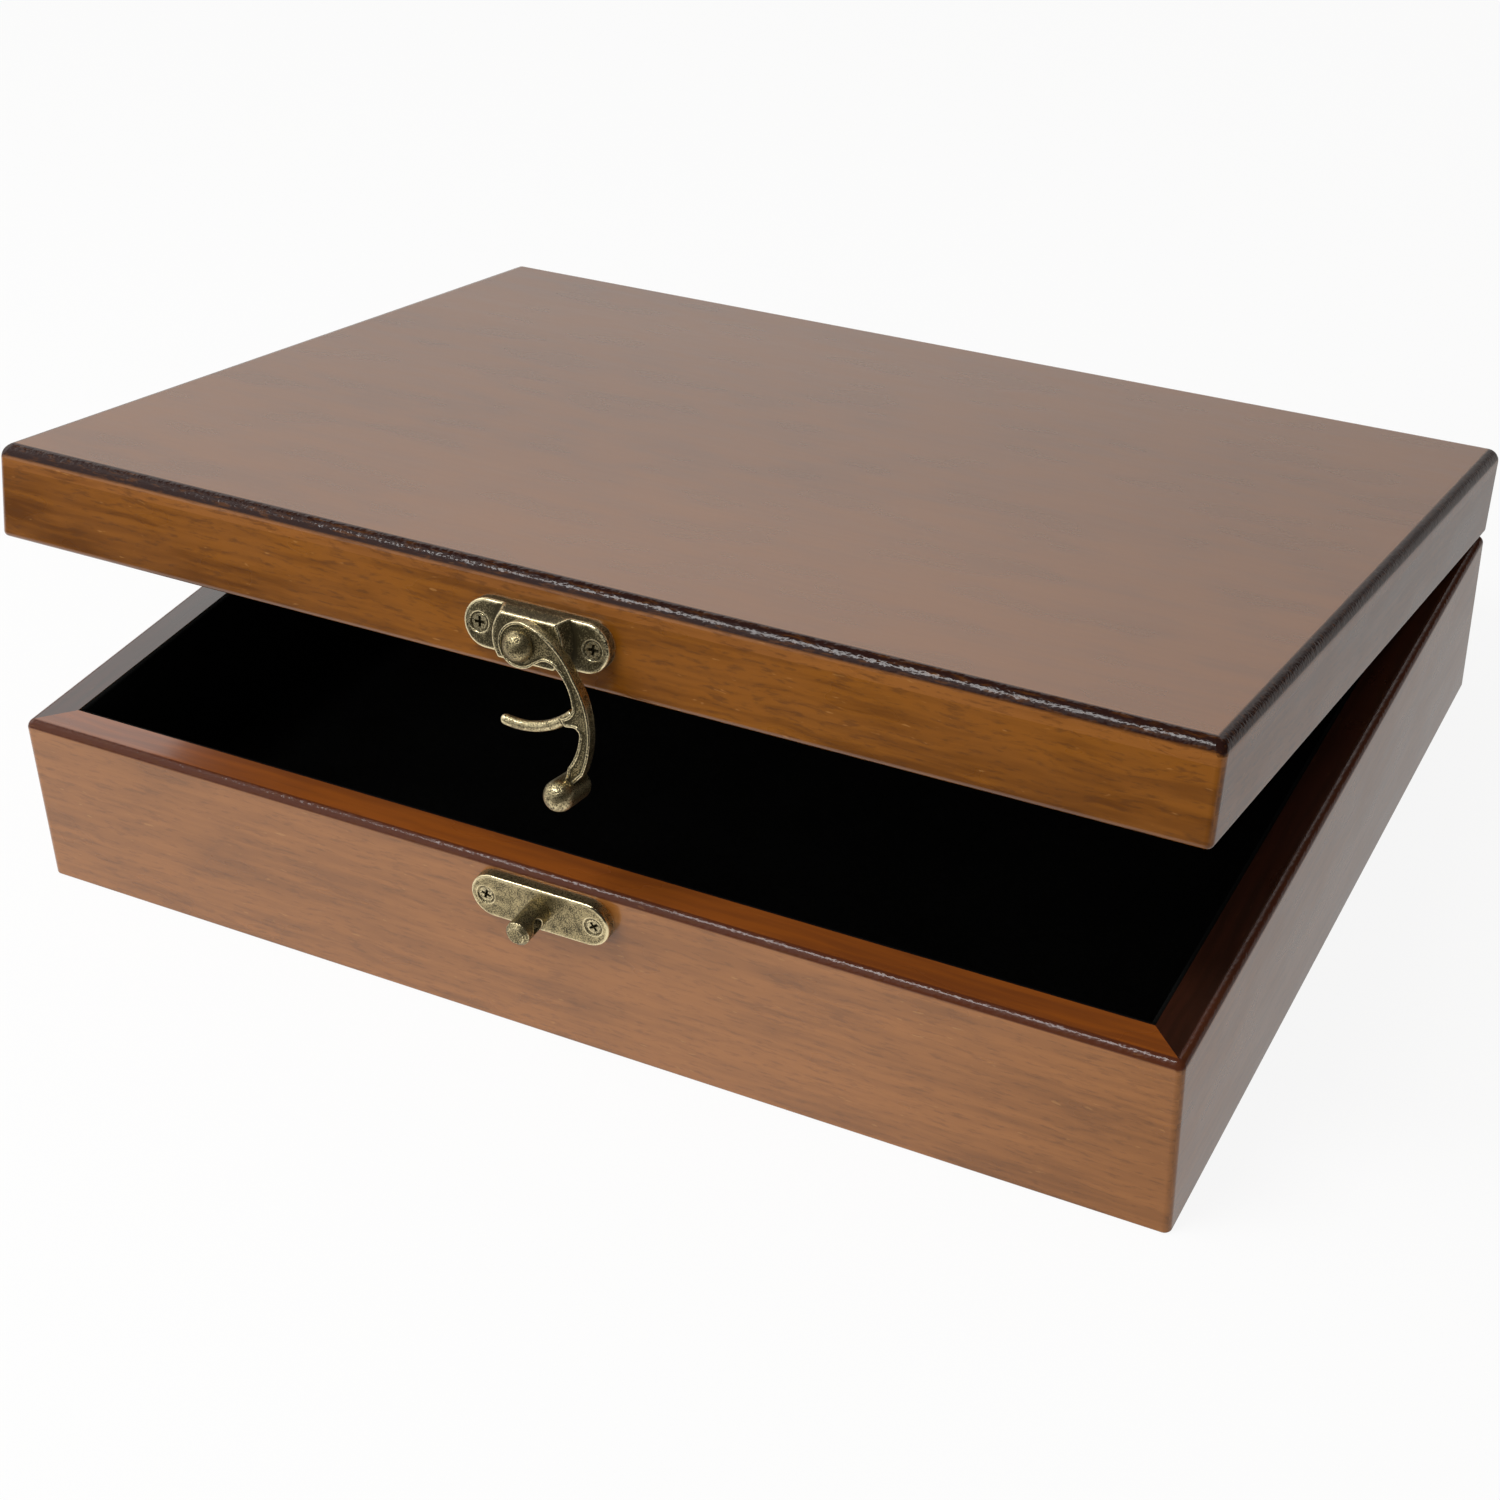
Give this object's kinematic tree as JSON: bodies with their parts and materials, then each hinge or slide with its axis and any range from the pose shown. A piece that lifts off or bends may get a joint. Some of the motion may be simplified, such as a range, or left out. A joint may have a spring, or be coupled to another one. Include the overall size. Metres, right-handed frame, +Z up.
{
  "type": "keepsake box",
  "caption": "Lined wooden keepsake box for papers, with a lid on butt hinges at the back and a cast swing-hook latch on the front. It rests with the lid slightly open.",
  "frame": {"origin": "centre of the flat underside of the base", "axes": "+X to the right along the front, +Y from the front to the back, +Z up"},
  "size_m": [0.305, 0.2598, 0.121],
  "materials": {
    "lacquered_wood": "dark brown gloss lacquer over fine grain",
    "lining_felt": "short black felt",
    "antique_brass": "cast, darkened in the recesses and rubbed bright on the edges",
    "hinge_brass": "darkened sheet, satin"
  },
  "bodies": {
    "base": {"base_back_board": "lacquered_wood", "base_back_felt": "lining_felt", "base_bottom_panel": "lacquered_wood", "base_floor_felt": "lining_felt", "base_front_board": "lacquered_wood", "base_front_felt": "lining_felt", "base_left_board": "lacquered_wood", "base_left_felt": "lining_felt", "base_right_board": "lacquered_wood", "base_right_felt": "lining_felt", "catch_plate": "antique_brass", "catch_post": "antique_brass", "catch_screws": "antique_brass", "hinge_left_base_leaf": "hinge_brass", "hinge_right_base_leaf": "hinge_brass", "hinge_left_pin": "hinge_brass", "hinge_right_pin": "hinge_brass", "hinge_base_screws": "hinge_brass"},
    "lid": {"lid_back_board": "lacquered_wood", "lid_back_felt": "lining_felt", "lid_ceiling_felt": "lining_felt", "lid_front_board": "lacquered_wood", "lid_front_felt": "lining_felt", "lid_left_board": "lacquered_wood", "lid_left_felt": "lining_felt", "lid_right_board": "lacquered_wood", "lid_right_felt": "lining_felt", "lid_top_panel": "lacquered_wood", "latch_plate": "antique_brass", "latch_rivet": "antique_brass", "latch_screws": "antique_brass", "hinge_left_lid_leaf": "hinge_brass", "hinge_right_lid_leaf": "hinge_brass", "hinge_lid_screws": "hinge_brass"},
    "hook": {"latch_hook": "antique_brass"}
  },
  "joints": [
    {"name": "lid_hinge", "type": "hinge", "parent": "base", "child": "lid", "pos_m": [0, 0.1221, 0.048], "axis": [-1, 0, 0], "range_deg": [-12, 168]},
    {"name": "hook_pivot", "type": "hinge", "parent": "lid", "child": "hook", "pos_m": [0, -0.11325, 0.10907], "axis": [0, -0.9781, 0.2079], "range_deg": [-28, 100]}
  ]
}
